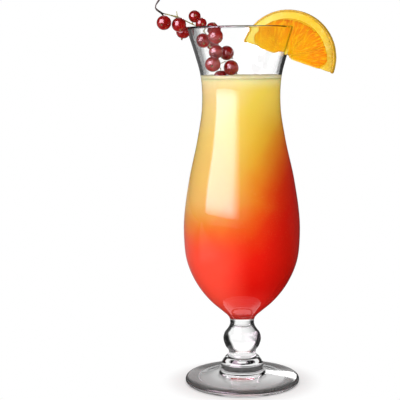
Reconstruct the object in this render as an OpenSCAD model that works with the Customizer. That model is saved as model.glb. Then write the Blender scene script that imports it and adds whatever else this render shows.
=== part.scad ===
// Hurricane cocktail glass with a layered drink, an orange half slice on the rim and a sprig of redcurrants.
// Millimetres. The origin is the centre of the ring that the foot rests on, and +Z is up.
// +X runs through the orange's side of the rim, and -Y faces the viewer.

/* [Glass] */
// Height of the glass from the table to the top of the rim
glass_h = 235; // [225:1:245]
// Outer radius at the rim
rim_r = 35; // [33.5:0.5:36]
// Outer radius at the waist under the flared mouth
waist_r = 25.5; // [25:0.25:26.5]
// Outer radius of the belly
belly_r = 38.3; // [37:0.1:40]
// Outer radius of the neck where the bowl meets the stem
neck_r = 8; // [7:0.25:9]
// Thickness of the bowl's wall
wall = 2; // [1.6:0.1:2.2]
// Largest radius of the knop
knop_r = 12.5; // [11:0.1:13.5]
// Radius of the foot
foot_r = 38; // [36:0.5:40]
// Thickness of the foot at its rounded edge
foot_edge = 4; // [3:0.25:5]
// Inner radius of the flat ring that the foot rests on
hollow_r = 29; // [26:0.5:32]
// Height of the hollow under the foot at its centre
hollow_h = 2.5; // [1.5:0.25:3]

/* [Drink] */
// Height of the drink's surface above the table
drink_z = 203; // [202:0.5:204]
// Height where the red syrup gives way to the blended zone
syrup_z = 96; // [70:1:105]
// Height where the blended zone gives way to the clear yellow juice
blend_z = 128; // [110:1:150]
// Thickness of the froth in the middle of the surface
froth_t = 1; // [0.6:0.1:1.5]
// Extra height of the froth where it clings to the wall
froth_cling = 1.4; // [0.8:0.1:2]

/* [Orange slice] */
// Radius of the slice over the peel
slice_r = 30.6; // [28:0.2:32]
// Thickness of the slice
slice_t = 9; // [7:0.5:9]
// Thickness of the coloured zest
zest_t = 1.2; // [0.8:0.1:1.6]
// Thickness of the pale pith under the zest
pith_t = 4; // [3:0.25:5]
// Radius of the pale core at the middle of the straight edge
core_r = 4; // [3:0.25:5]
// Thickness of the walls between the segments
membrane_t = 0.6; // [0.4:0.1:1]
// Number of juice segments
segments = 5; // [4:1:6]
// Angle of the slice round the rim, from +X towards the viewer
slice_azimuth = 15; // [5:1:25]
// Tilt of the straight edge, outer end down
slice_tilt = 20; // [16:1:24]
// Distance of the straight edge's middle from the glass's axis
slice_out = 30.8; // [30:0.2:32]
// Height of the straight edge's middle
slice_z = 214.7; // [214:0.1:216]

/* [Redcurrants] */
// Length of the dry calyx at a berry's tip
calyx_len = 1.8; // [1.2:0.1:2]
// Radius of the calyx where it joins the berry
calyx_r = 0.9; // [0.7:0.1:1]
// Radius of a berry's side stalk
stalk_r = 0.4; // [0.3:0.05:0.5]
// Radius of the sprig's stem where it was cut
stem_cut_r = 0.8; // [0.6:0.1:1.2]
// Radius of the sprig's stem at its last berry
stem_tip_r = 0.45; // [0.4:0.05:0.6]

/* [Hidden] */
$fn = 96;
// Steps that a curve takes between two of its own points
CURVE_STEPS = 6;
STEM_STEPS = 3;
// Small gap between pieces that touch on the real object, and room left round pieces that come off
GAP = 0.1;
CLEARANCE = 0.35;
// Length of a cutter that has to pass right through
FAR = 100;

// Where the bowl, the stem and the foot are fused
bowl_z = 42;
foot_z = 11;
// Height of the bowl's floor at its middle, and how much it rises to where the wall begins
bowl_floor_z = 48;
FLOOR_RISE = 0.6;
// Lean of the flared mouth from upright, and the height where its outside rolls over into the rim
mouth_lean = 16.5;
rim_z = glass_h - wall / 2 * (1 + sin(mouth_lean));

// The outside of the bowl, from the rim down to the neck, as radius and height
BOWL_OUTLINE = [
    [rim_r, rim_z],
    [29.4, 216],
    [26.5, 205],
    [waist_r, 184],
    [28.8, 162],
    [34.5, 136],
    [belly_r, 100],
    [36.3, 82],
    [29.2, 66],
    [20.4, 55],
    [13, 48.5],
    [9.8, 45.6],
    [8.4, 43.6],
    [neck_r, bowl_z]
];
// The point of that list where the waist is, and the flared mouth begins
WAIST_AT = 3;

// The outside of the stem from the bowl down to the foot: neck, knop, lower neck and flare
STEM_OUTLINE = [
    [neck_r, bowl_z],
    [7.95, 40],
    [8.5, 38],
    [9.7, 36],
    [11.6, 33.4],
    [knop_r, 30],
    [11.3, 25],
    [8.9, 20.8],
    [9.3, 18.8],
    [11.2, 17],
    [12.7, 15],
    [13.8, 13],
    [14.2, foot_z]
];
step_r = 14.2;
step_z = 7.2;

// Berries of the sprig: place, radius, direction of the calyx, and the stem point that carries it.
// The first three hang outside the rim, the next three lie over it, and the rest hang inside.
CURRANTS = [
    [[-49.6, 2, 237.9], 4.7, [-0.3, -0.9, -0.3], 2],
    [[-40, 5, 236.7], 4.7, [0.2, -0.6, -0.75], 3],
    [[-37.5, 14.5, 232.2], 4.5, [-0.2, 0, -1], 5],
    [[-29.8, 12, 242.1], 4, [0.15, -1, 0.15], 6],
    [[-25.6, 6.5, 237.5], 3.65, [0.25, -0.95, -0.2], 8],
    [[-18.5, 5, 234.2], 3.9, [0.35, -0.6, 0.7], 9],
    [[-24.4, 1.3, 226.4], 4.75, [0.1, -0.9, -0.4], 9],
    [[-16.4, -4.6, 229], 4.85, [0.6, -0.7, -0.4], 9],
    [[-16.2, -1, 219.2], 4.7, [0.75, 0.1, -0.65], 10],
    [[-9.2, 6.5, 218.4], 4.75, [0.7, -0.3, -0.65], 10],
    [[-18.1, -7.5, 211.4], 4.9, [-0.1, -0.95, -0.25], 11],
    [[-6.5, -3, 209], 4.95, [0.6, -0.45, -0.66], 12],
    [[-18.7, 13, 224.6], 4.4, [0.2, 0.3, -0.95], 9],
    [[-13.2, 2, 202.8], 4.8, [0, 0, -1], 13]
];

// The stem from its cut end, over the rim, down to the last berry
STEM_ROUTE = [
    [-51.5, 3, 254],
    [-55, 3, 247.5],
    [-51.5, 4, 244.5],
    [-46, 6, 243],
    [-41, 8, 241.8],
    [-36, 12, 239.5],
    [-31.5, 16, 237.2],
    [-28.5, 17.5, 236],
    [-25, 13, 233],
    [-21, 8, 228],
    [-20, 6, 221.5],
    [-17.5, 4, 215.5],
    [-14.5, 2.5, 211.2],
    [-13.5, 2, 208.6]
];
// The side stalk that has lost its berry, and the stem point it grows from
BARE_STALK = [-41.5, 7.5, 245.5];
BARE_STALK_AT = 4;

// A berry is flat where it meets its stalk and its calyx, at this share of its radius
BERRY_FLAT = 0.97;
// The straight end of a side stalk
STALK_END = 0.8;

function unit(v) = v / norm(v);

// A smooth curve through points: at each point it runs along the parabola through its neighbours.
function chord(p, i) = norm(p[i + 1] - p[i]);
function heading(p, i) = (p[i + 1] - p[i]) / chord(p, i);
function slope(p, i) =
    i == 0 ? heading(p, 0)
    : i == len(p) - 1 ? heading(p, i - 1)
    : (chord(p, i) * heading(p, i - 1) + chord(p, i - 1) * heading(p, i)) / (chord(p, i - 1) + chord(p, i));
function between(p, i, t) =
    (2 * t ^ 3 - 3 * t ^ 2 + 1) * p[i]
    + (t ^ 3 - 2 * t ^ 2 + t) * chord(p, i) * slope(p, i)
    + (3 * t ^ 2 - 2 * t ^ 3) * p[i + 1]
    + (t ^ 3 - t ^ 2) * chord(p, i) * slope(p, i + 1);
function curve(p, steps) = [
    for (i = [0 : len(p) - 2], s = [0 : steps - 1]) between(p, i, s / steps),
    p[len(p) - 1]
];

// The bowl's wall: its outside, and its inside one wall thickness in from that
bowl_outer = curve(BOWL_OUTLINE, CURVE_STEPS);
waist_i = WAIST_AT * CURVE_STEPS;
function inward(p, i) =
    let (along = unit(p[min(i + 1, len(p) - 1)] - p[max(i - 1, 0)])) [along[1], -along[0]];
// A line at a depth inside the outer face, from the rim down to the middle of the bowl's floor
function wall_line(depth) =
    let (floor_z = bowl_floor_z + depth - wall)
    concat(
        [
            for (i = [0 : len(bowl_outer) - 1])
                let (q = bowl_outer[i] + depth * inward(bowl_outer, i))
                if (q[1] > floor_z + FLOOR_RISE) q
        ],
        [[0, floor_z]]
    );
bowl_inner = wall_line(wall);
// The drink stays a hair clear of the glass
drink_line = wall_line(wall + GAP);
drink_radii = [for (q = drink_line) [q[1], q[0]]];
function drink_r(z) = lookup(z, drink_radii);

// The rounded rim, from the outside over to the inside
rim_out = bowl_outer[0];
rim_in = bowl_inner[0];
rim_mid = (rim_out + rim_in) / 2;
rim_lean = atan2(rim_in[1] - rim_out[1], rim_in[0] - rim_out[0]);
RIM_STEPS = 8;
rim_arc = [
    for (s = [1 : RIM_STEPS - 1])
        let (a = rim_lean - 180 + 180 * s / RIM_STEPS)
        rim_mid + wall / 2 * [cos(a), sin(a)]
];

// How far the round wall bends away across half of the slice's thickness
wall_bend = (slice_t / 2) ^ 2 / (2 * BOWL_OUTLINE[1][0]);
slit_w = wall + wall_bend + 3 * CLEARANCE;
// The slit sits a little towards the axis, as the wall's curve does
slit_shift = wall_bend / 2 + CLEARANCE / 2;
flesh_r = slice_r - zest_t - pith_t;

currant_nodes = [for (i = [1 : len(CURRANTS)]) str("currant_", i < 10 ? "0" : "", i)];
calyx_nodes = [for (i = [1 : len(CURRANTS)]) str("calyx_", i < 10 ? "0" : "", i)];
segment_nodes = [for (i = [1 : segments]) str("orange_segment_", i)];

// Glass
// The blown wall above the waist, up to the rounded rim
module flared_mouth() {
    color("lightcyan", 0.5)
        rotate_extrude()
            polygon(concat(
                [for (i = [waist_i : -1 : 0]) bowl_outer[i]],
                rim_arc,
                [for (i = [0 : waist_i]) bowl_inner[i]]
            ));
}

// The blown wall below the waist, down to the neck
module bowl() {
    color("lightcyan", 0.5)
        rotate_extrude()
            polygon(concat(
                [[0, bowl_z]],
                [for (i = [len(bowl_outer) - 1 : -1 : waist_i]) bowl_outer[i]],
                [for (i = [waist_i : len(bowl_inner) - 1]) bowl_inner[i]]
            ));
}

module knop_stem() {
    color("lightcyan", 0.5)
        rotate_extrude()
            polygon(concat(
                [[0, bowl_z]],
                curve(STEM_OUTLINE, CURVE_STEPS),
                [[0, foot_z]]
            ));
}

module foot() {
    edge_r = foot_edge / 2;
    color("lightcyan", 0.5)
        rotate_extrude()
            polygon(concat(
                [[0, foot_z], [step_r, foot_z], [step_r, step_z]],
                curve([[step_r + 1, 6.4], [25, 5.2], [foot_r - edge_r, foot_edge]], CURVE_STEPS),
                [for (a = [75 : -15 : -75]) [foot_r - edge_r + edge_r * cos(a), edge_r + edge_r * sin(a)]],
                [[foot_r - edge_r, 0], [hollow_r, 0]],
                curve([[hollow_r - 0.5, 0.6], [hollow_r * 0.6, hollow_h * 0.85], [0, hollow_h]], CURVE_STEPS)
            ));
}

// Drink
// A layer of liquid between two heights, filling the bowl
module liquid(low, high) {
    rotate_extrude()
        polygon(concat(
            [[0, low], [drink_r(low), low]],
            [for (i = [len(drink_line) - 1 : -1 : 0])
                let (q = drink_line[i])
                if (q[1] > low && q[1] < high) q],
            [[drink_r(high), high], [0, high]]
        ));
}

module syrup_layer() {
    color("crimson")
        liquid(bowl_floor_z + FLOOR_RISE / 2, syrup_z);
}

module blend_layer() {
    color("darkorange")
        liquid(syrup_z, blend_z);
}

module juice_layer() {
    color("gold")
        difference() {
            liquid(blend_z, drink_z - froth_t);
            dipped_room();
        }
}

module froth() {
    surface_z = drink_z - froth_t;
    color("cornsilk")
        difference() {
            rotate_extrude()
                polygon([
                    [0, surface_z],
                    [drink_r(surface_z), surface_z],
                    [drink_r(drink_z + froth_cling), drink_z + froth_cling],
                    [drink_r(drink_z) - 2 * froth_cling, drink_z],
                    [0, drink_z]
                ]);
            dipped_room();
        }
}

// Room for the lowest berry, its calyx and their way up out of the drink
module dipped_room() {
    berry = CURRANTS[len(CURRANTS) - 1];
    translate(berry[0]) {
        sphere(berry[1] + CLEARANCE);
        cylinder(h = FAR, r = berry[1] + CLEARANCE);
        translate([0, 0, -berry[1] - calyx_len - CLEARANCE])
            cylinder(h = berry[1] + calyx_len, r = calyx_r + CLEARANCE);
    }
}

// Orange
// Puts a slice drawn flat, with its straight edge along X and its peel towards +Y, on the rim
module on_the_rim() {
    rotate([0, 0, -slice_azimuth])
        translate([slice_out, 0, slice_z])
            rotate([0, slice_tilt, 0])
                rotate([90, 0, 0])
                    children();
}

// The slit that grips the wall, open at the straight edge and closed on the rim
module slit() {
    rotate([0, 0, -slice_azimuth])
        translate([rim_mid[0], 0, rim_mid[1]])
            rotate([0, mouth_lean, 0])
                translate([-slit_shift, 0, wall / 2 + CLEARANCE - FAR / 2])
                    cube([slit_w, FAR, FAR], center = true);
}

// A half ring of the slice between two radii
module half_ring(outer, inner) {
    intersection() {
        difference() {
            cylinder(h = slice_t, r = outer, center = true);
            cylinder(h = 2 * slice_t, r = inner, center = true);
        }
        translate([-FAR / 2, 0, -FAR / 2])
            cube([FAR, FAR / 2, FAR]);
    }
}

module orange_zest() {
    color("darkorange")
        on_the_rim()
            half_ring(slice_r, slice_r - zest_t);
}

module orange_pith() {
    color("khaki")
        on_the_rim()
            half_ring(slice_r - zest_t - GAP / 2, flesh_r);
}

// One juice segment, counted from the outer end of the straight edge
module orange_segment(i) {
    step = 180 / segments;
    side = membrane_t / 2 + GAP / 2;
    reach = FAR / cos(step / 2);
    color("orange")
        difference() {
            on_the_rim()
                intersection() {
                    half_ring(flesh_r - GAP / 2, core_r + GAP / 2);
                    rotate([0, 0, (i - 0.5) * step])
                        translate([side / sin(step / 2), 0, -FAR / 2])
                            linear_extrude(FAR)
                                polygon([
                                    [0, 0],
                                    reach * [cos(step / 2), -sin(step / 2)],
                                    reach * [cos(step / 2), sin(step / 2)]
                                ]);
                }
            slit();
        }
}

module orange_membranes() {
    color("moccasin")
        difference() {
            on_the_rim()
                union() {
                    half_ring(core_r, GAP);
                    for (i = [1 : segments - 1])
                        rotate([0, 0, i * 180 / segments])
                            translate([core_r / 2, -membrane_t / 2, -slice_t / 2])
                                cube([flesh_r - core_r / 2 - GAP / 2, membrane_t, slice_t]);
                }
            slit();
        }
}

// Redcurrants
// Turns +Z to a direction
module facing(v) {
    rotate([0, acos(unit(v)[2]), atan2(v[1], v[0])])
        children();
}

// A tapered round strand through points, its radius running from the first point to the last
module strand(points, first_r, last_r) {
    last = len(points) - 1;
    for (i = [0 : last - 1])
        hull() {
            translate(points[i])
                sphere(first_r + (last_r - first_r) * i / last, $fn = 10);
            translate(points[i + 1])
                sphere(first_r + (last_r - first_r) * (i + 1) / last, $fn = 10);
        }
}

module sprig_stem() {
    color("olivedrab") {
        strand(curve(STEM_ROUTE, STEM_STEPS), stem_cut_r, stem_tip_r);
        strand([STEM_ROUTE[BARE_STALK_AT], BARE_STALK], stalk_r, stalk_r);
        for (berry = CURRANTS) {
            away = unit(berry[2]);
            pole = berry[0] - away * (berry[1] * BERRY_FLAT + stalk_r + GAP);
            strand([STEM_ROUTE[berry[3]], pole - away * STALK_END, pole], stalk_r, stalk_r);
        }
    }
}

module currant(i) {
    berry = CURRANTS[i];
    color("firebrick")
        translate(berry[0])
            facing(berry[2])
                intersection() {
                    sphere(berry[1]);
                    cylinder(h = 2 * berry[1] * BERRY_FLAT, r = 2 * berry[1], center = true);
                }
}

module calyx(i) {
    berry = CURRANTS[i];
    color("saddlebrown")
        translate(berry[0])
            facing(berry[2])
                translate([0, 0, berry[1] * BERRY_FLAT])
                    rotate_extrude()
                        polygon([
                            [0, 0],
                            [calyx_r, 0],
                            [calyx_r * 0.55, calyx_len * 0.45],
                            [calyx_r * 0.75, calyx_len],
                            [0, calyx_len * 0.7]
                        ]);
}

flared_mouth();
bowl();
knop_stem();
foot();
syrup_layer();
blend_layer();
juice_layer();
froth();
orange_zest();
orange_pith();
orange_membranes();
for (i = [0 : segments - 1])
    orange_segment(i + 1);
sprig_stem();
for (i = [0 : len(CURRANTS) - 1]) {
    currant(i);
    calyx(i);
}
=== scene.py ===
# %% [markdown]
# # A hurricane glass with a layered drink, an orange slice and a sprig of redcurrants
#
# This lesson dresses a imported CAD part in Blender. The CAD model is the frame: it says where each piece is,
# how large it is and which body it moves with. Every piece made here is in metres, in that same frame,
# so a piece is simply drawn where the CAD says, and nothing is moved into place by eye.

# %% Load the frame
import math
import random

import bpy
from mathutils import Matrix, Vector, noise


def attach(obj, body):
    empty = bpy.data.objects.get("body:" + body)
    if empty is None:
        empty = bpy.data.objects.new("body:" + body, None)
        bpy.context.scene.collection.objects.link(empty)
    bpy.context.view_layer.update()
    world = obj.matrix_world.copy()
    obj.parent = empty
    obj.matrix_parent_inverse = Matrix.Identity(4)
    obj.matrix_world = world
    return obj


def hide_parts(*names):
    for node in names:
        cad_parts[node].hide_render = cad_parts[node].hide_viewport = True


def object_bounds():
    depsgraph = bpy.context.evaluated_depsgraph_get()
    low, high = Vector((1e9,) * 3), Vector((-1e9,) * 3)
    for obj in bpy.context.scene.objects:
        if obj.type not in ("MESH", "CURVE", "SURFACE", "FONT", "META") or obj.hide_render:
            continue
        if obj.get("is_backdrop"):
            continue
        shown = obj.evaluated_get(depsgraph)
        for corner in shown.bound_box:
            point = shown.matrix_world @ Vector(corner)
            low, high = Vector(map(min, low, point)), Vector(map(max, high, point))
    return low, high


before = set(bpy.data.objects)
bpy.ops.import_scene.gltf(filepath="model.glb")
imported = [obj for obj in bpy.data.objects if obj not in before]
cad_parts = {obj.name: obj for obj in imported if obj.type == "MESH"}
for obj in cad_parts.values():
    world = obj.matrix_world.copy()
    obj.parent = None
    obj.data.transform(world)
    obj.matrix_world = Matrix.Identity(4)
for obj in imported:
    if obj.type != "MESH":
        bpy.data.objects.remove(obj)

cad_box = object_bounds()
scene = bpy.context.scene
scene.view_settings.view_transform = "Standard"
MM = 0.001

# %% [markdown]
# ## The camera
#
# The photo is taken from just above the drink's surface, a little to the left of the glass, with a long lens.
# The distance and the tilt were worked out from how the foot's ellipse opens while the drink's surface stays
# almost edge-on. A long lens far away keeps the glass's sides from leaning, and half a degree of roll stands the
# glass upright in the picture, since it is looked down on and off to one side.

# %% Camera
CAMERA_PLACE = (-0.0265, -0.720, 0.2182)
CAMERA_TILT = math.radians(82.44)
CAMERA_ROLL = math.radians(0.5)
camera_data = bpy.data.cameras.new("camera")
camera_data.lens = 99.5
camera_data.sensor_width = 36
camera = bpy.data.objects.new("camera", camera_data)
camera.location = CAMERA_PLACE
camera.rotation_euler = (CAMERA_TILT, CAMERA_ROLL, 0)
scene.collection.objects.link(camera)
scene.camera = camera
print("camera:", CAMERA_PLACE, camera_data.lens, "mm")

# %% [markdown]
# ## Helpers for node trees
#
# Every finish below is a small node tree. One helper fills a node's sockets and one adds a node, so that a finish
# reads as a list of steps. The others are the sums that come back most: a range taken to another range, a band with
# soft ends, a product, and a mix of two numbers or of two colours. A socket knows the tree it belongs to, so these
# need no other word for it.

# %% Node helpers
def fill(node, inputs):
    """Sets a node's sockets by name or number; a value that is another node's socket is linked."""
    for key, value in inputs.items():
        if isinstance(value, bpy.types.NodeSocket):
            node.id_data.links.new(value, node.inputs[key])
        else:
            node.inputs[key].default_value = value


def add(tree, kind, inputs=None, **settings):
    """Adds a shader node with its settings, and fills its sockets."""
    made = tree.nodes.new("ShaderNode" + kind)
    for key, value in settings.items():
        setattr(made, key, value)
    fill(made, inputs or {})
    return made


def xyz(vector):
    """The three parts of a vector."""
    return add(vector.id_data, "SeparateXYZ", {0: vector}).outputs[:3]


def ramp(factor, stops):
    """A colour ramp; stops are (place, colour) pairs."""
    made = add(factor.id_data, "ValToRGB", {0: factor})
    marks = made.color_ramp.elements
    while len(marks) < len(stops):
        marks.new(0.5)
    for mark, (place, colour) in zip(marks, stops):
        mark.position = place
        mark.color = (*colour, 1)
    return made.outputs["Color"]


def between(value, low, high, to_low=0.0, to_high=1.0, smooth=True):
    """Takes a value from one range to another, clamped at both ends."""
    made = add(value.id_data, "MapRange", {0: value, 1: low, 2: high, 3: to_low, 4: to_high})
    made.interpolation_type = "SMOOTHSTEP" if smooth else "LINEAR"
    return made.outputs[0]


def maths(operation, a, b=0.5):
    tree = (a if isinstance(a, bpy.types.NodeSocket) else b).id_data
    return add(tree, "Math", {0: a, 1: b}, operation=operation).outputs[0]


def times(first, *others):
    """The product of several values."""
    for other in others:
        first = maths("MULTIPLY", first, other)
    return first


def band(value, rise, fall):
    """1 from the end of one range to the start of another, with soft ends, and 0 outside them."""
    return times(between(value, *rise), between(value, *fall, 1.0, 0.0))


def either(share, a, b):
    """A number that goes from a to b as the share goes from 0 to 1."""
    return add(share.id_data, "Mix", {0: share, 2: a, 3: b}).outputs[0]


def mixed(share, a, b):
    """A colour that goes from a to b as the share goes from 0 to 1."""
    return add(share.id_data, "Mix", {0: share, 6: a, 7: b}, data_type="RGBA").outputs[2]


def coated(colour, coats):
    """Lays coats over a colour, one after the other; each has its share and its own colour."""
    for share, coat in coats:
        colour = mixed(share, colour, coat)
    return colour


def finish_for(name):
    """A new material with its tree, its main shader and its Object coordinates."""
    made = bpy.data.materials.new(name)
    made.use_nodes = True
    tree = made.node_tree
    return made, tree, tree.nodes["Principled BSDF"], add(tree, "TexCoord").outputs["Object"]


print("helpers ready")

# %% [markdown]
# ## Floor and world
#
# The glass stands on a white table in front of a white backdrop. The table keeps its own shade and the shadow near
# the foot, and turns pure white further out. What clear glass shows of it depends on the way the light took:
#
# - straight through: white, falling off to grey at both sides, where the backdrop ends
# - after bouncing about inside the glass: bright by the foot and dim further out, because such light leaves the glass
#   towards the dark part of the room. That draws the black lines along the edges of clear glass
# - mirrored on the outside: grey behind the glass, and pale at the front left, under the softbox
#
# Under the hollow of the foot the table is a little paler than in the ring of shadow, since light comes down there.

# %% Floor
TABLE_WIDTH = 6
HOLLOW_EDGE = (0.027, 0.031)
FOOT_EDGE = (0.0365, 0.0395)
SHADOW_END = (0.039, 0.055)


def bounced_inside(path):
    """1 for light that was mirrored at least once and crossed the glass at most twice, else 0."""
    mirrored_once = maths("GREATER_THAN", path["Glossy Depth"], 0.5)
    return times(mirrored_once, maths("LESS_THAN", path["Transmission Depth"], 2.5))


bpy.ops.object.select_all(action="DESELECT")
bpy.ops.mesh.primitive_plane_add(size=TABLE_WIDTH)
floor = bpy.context.object
floor.name = "floor"
floor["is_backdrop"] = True

paper, tree, shader, place = finish_for("white_table")
fill(shader, {"Base Color": (0.9, 0.9, 0.9, 1), "Roughness": 0.9, "Specular IOR Level": 0.0})
x, y, _ = xyz(place)
away = add(tree, "VectorMath", {0: place}, operation="LENGTH").outputs["Value"]
aside = maths("DIVIDE", x, maths("MAXIMUM", y, 0.05))
path = add(tree, "LightPath").outputs
seen = maths("MAXIMUM", path["Is Camera Ray"], path["Is Transmission Ray"])
mirrored = maths("SUBTRACT", path["Is Glossy Ray"], path["Is Transmission Ray"])
bounced = bounced_inside(path)

# How much of what is seen is pure white, instead of the table's own shade
in_hollow = times(
    between(away, *HOLLOW_EDGE, 1.0, 0.0), between(y, -0.024, 0.004, 0.12, 0.6),
    between(x, -0.026, -0.016, 0.2, 1.0),
)
clean = maths("ADD", between(away, *FOOT_EDGE, 0.03, 0.55), between(away, *SHADOW_END, 0.0, 0.45))
clean = maths("MAXIMUM", clean, in_hollow)
white_share = times(seen, maths("MAXIMUM", clean, bounced))
white_share = maths("MAXIMUM", white_share, mirrored)

# How bright that white is, for each way the light can take
lit_front = times(between(x, -0.30, -0.16, 0.42, 0.0), band(y, (-0.32, -0.12), (-0.04, 0.06)))
by_mirror = times(
    between(y, 0.0, 0.3, 0.0, 0.8), between(aside, 0.12, 0.30, 1.0, 0.05),
    between(aside, -0.40, -0.15, 0.3, 1.0),
)
by_mirror = maths("MAXIMUM", by_mirror, lit_front)
by_bounces = times(between(away, 0.04, 0.12, 1.0, 0.08), between(y, -0.012, 0.006, 0.34, 0.95))
by_bounces = maths("MAXIMUM", by_bounces, lit_front)
left_end = either(
    between(away, 0.5, 0.9),
    between(aside, -0.8, 0.02, 0.2, 1.0), between(aside, -0.75, -0.36, 0.5, 1.13),
)
right_end = maths("MAXIMUM", between(aside, 0.45, 1.0, 1.0, 0.05), between(away, 0.08, 0.14, 1.0, 0.0))
in_front = between(y, -0.05, -0.03, 1.0, 0.0)
straight = maths("MAXIMUM", times(left_end, right_end), in_front)
straight = either(path["Is Transmission Ray"], 1.0, straight)
level = either(mirrored, either(bounced, straight, by_bounces), by_mirror)
glow = add(tree, "Emission", {"Color": (1, 1, 1, 1), "Strength": level})
top = add(tree, "MixShader", {0: white_share, 1: shader.outputs[0], 2: glow.outputs[0]})
fill(tree.nodes["Material Output"], {"Surface": top.outputs[0]})
floor.data.materials.append(paper)
print("floor:", floor.dimensions[0], "m wide")

# %% [markdown]
# The world does the same above the table: white to look at, plain grey as a light, and what the glass shows of it
# again depends on the way. In mirror images it is a grey backdrop between two black flags, with a dark band at the
# height of the eye and a slanted bright window behind, which is the glare on the right of the foot.

# %% World
AMBIENT = 0.62
DARK_ROOM = 0.03
WINDOW_SLANT = 1.25
WINDOW_LEVEL = 6.0

world = bpy.data.worlds.new("white_room")
world.use_nodes = True
scene.world = world
tree = world.node_tree
tree.nodes.clear()
path = add(tree, "LightPath").outputs
x, y, z = xyz(add(tree, "TexCoord").outputs["Generated"])

eye_band = times(between(maths("ABSOLUTE", z), 0.15, 0.22, 0.95, 0.0), between(y, 0.86, 0.95))
backdrop = times(between(y, -0.1, 0.75, 0.08, 0.6), maths("SUBTRACT", 1.0, eye_band))
left_flag = between(x, -0.32, -0.12, 0.08, 1.0)
right_flag = between(x, 0.12, 0.30, 1.0, 0.06)
slant = maths("SUBTRACT", z, times(x, WINDOW_SLANT))
window = times(band(x, (0.05, 0.08), (0.20, 0.26)), band(slant, (0.05, 0.08), (0.12, 0.16)), between(y, 0.5, 0.7))
lit_front = times(between(x, -0.35, 0.05, 0.5, 0.0), between(y, -0.55, -0.15, 1.0, 0.0))
by_mirror = maths("ADD", times(backdrop, left_flag, right_flag), times(window, WINDOW_LEVEL))
by_mirror = maths("MAXIMUM", by_mirror, lit_front)

by_bounces = maths("MAXIMUM", between(z, 0.02, 0.45, DARK_ROOM, 0.8), lit_front)
straight = times(between(x, -0.60, -0.34, 0.5, 1.13), between(x, 0.38, 0.60, 1.0, 0.3))
straight = maths("MAXIMUM", straight, between(y, 0.50, 0.80, 1.0, 0.0))
through = either(bounced_inside(path), straight, by_bounces)

as_light = between(x, 0.0, 0.9, AMBIENT, AMBIENT * 0.8)
level = either(path["Is Glossy Ray"], as_light, by_mirror)
level = either(path["Is Transmission Ray"], level, through)
level = either(path["Is Camera Ray"], level, 1.0)
room = add(tree, "Background", {"Color": (1, 1, 1, 1), "Strength": level})
add(tree, "OutputWorld", {"Surface": room.outputs[0]})
print("world: ambient", AMBIENT)

# %% [markdown]
# ## Lamps
#
# The photo has one large softbox at the left, in front of the glass: its mirror image is the tall pale stripe
# on the drink and the pink spot on each currant. Here the key lamp gives that light, a fill at the right keeps the
# other side from going dull, and a low card in front brightens the red above the foot. A fourth lamp, seen only in
# mirror images and through glass, draws the stripe. Keeping it apart lets the stripe be bright while the fruit keeps
# its colour. It is faded towards its sides and its lower edge, as the cloth of a softbox is.

# %% Lamps
def softbox(name, middle, target, width, height, radiance, mirrored_only=False):
    """An area lamp that only lights, or one that is only seen in mirror images."""
    lamp_data = bpy.data.lights.new(name, "AREA")
    lamp_data.shape = "RECTANGLE"
    lamp_data.size, lamp_data.size_y = width, height
    lamp_data.energy = radiance * math.pi * width * height
    lamp = bpy.data.objects.new(name, lamp_data)
    lamp.location = middle
    lamp.rotation_euler = (Vector(target) - Vector(middle)).to_track_quat("-Z", "Y").to_euler()
    lamp.visible_camera = False
    lamp.visible_transmission = mirrored_only
    lamp.visible_glossy = mirrored_only
    lamp.visible_diffuse = not mirrored_only
    scene.collection.objects.link(lamp)
    return lamp


PANEL_REACH = 0.55
PANEL_Z = 0.46
PANEL_HEIGHT = 0.64
PANEL_LEVEL = 9.8


def left_of_front(degrees):
    """A place round the glass, at the panel's distance and so many degrees to the left of the front."""
    a = math.radians(degrees)
    return Vector((-math.sin(a), -math.cos(a), 0)) * PANEL_REACH


softbox("key_light", (-0.66, -0.56, 0.42), (0, 0, 0.14), width=0.55, height=0.6, radiance=2.42)
softbox("fill_light", (0.64, -0.62, 0.28), (0, 0, 0.16), width=0.6, height=0.5, radiance=1.7)
softbox("low_card", (-0.08, -0.30, 0.03), (0, 0, 0.06), width=0.4, height=0.06, radiance=5.0)
near_edge, far_edge = left_of_front(6), left_of_front(80)
panel_target = Vector((0, 0, PANEL_Z))
panel_middle = (near_edge + far_edge) / 2 + panel_target
panel_width = (near_edge - far_edge).length
stripe = softbox("stripe_light", panel_middle, panel_target, panel_width, PANEL_HEIGHT, PANEL_LEVEL, True)
stripe.data.color = (1.0, 0.75, 0.92)
stripe.data.use_nodes = True
tree = stripe.data.node_tree
x, y, _ = xyz(add(tree, "NewGeometry").outputs["Parametric"])
fade = times(between(x, 0.0, 0.10, 0.2, 1.0), between(x, 0.68, 1.0, 1.0, 0.1), between(y, 0.0, 0.06, 0.4, 1.0))
fill(tree.nodes["Emission"], {"Strength": fade})

# %% [markdown]
# ## The glass
#
# The real glass is blown and pressed from one gather: a thin wall that flares at the mouth, narrows to a waist,
# swells to a belly and closes on a solid knopped stem, with a pressed foot that is hollow underneath.
# It is a turned shape, so it is drawn as half of its outline and spun. Wall and stem are one closed skin,
# because light has to cross exactly two surfaces of glass, and a seam inside would show.

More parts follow.
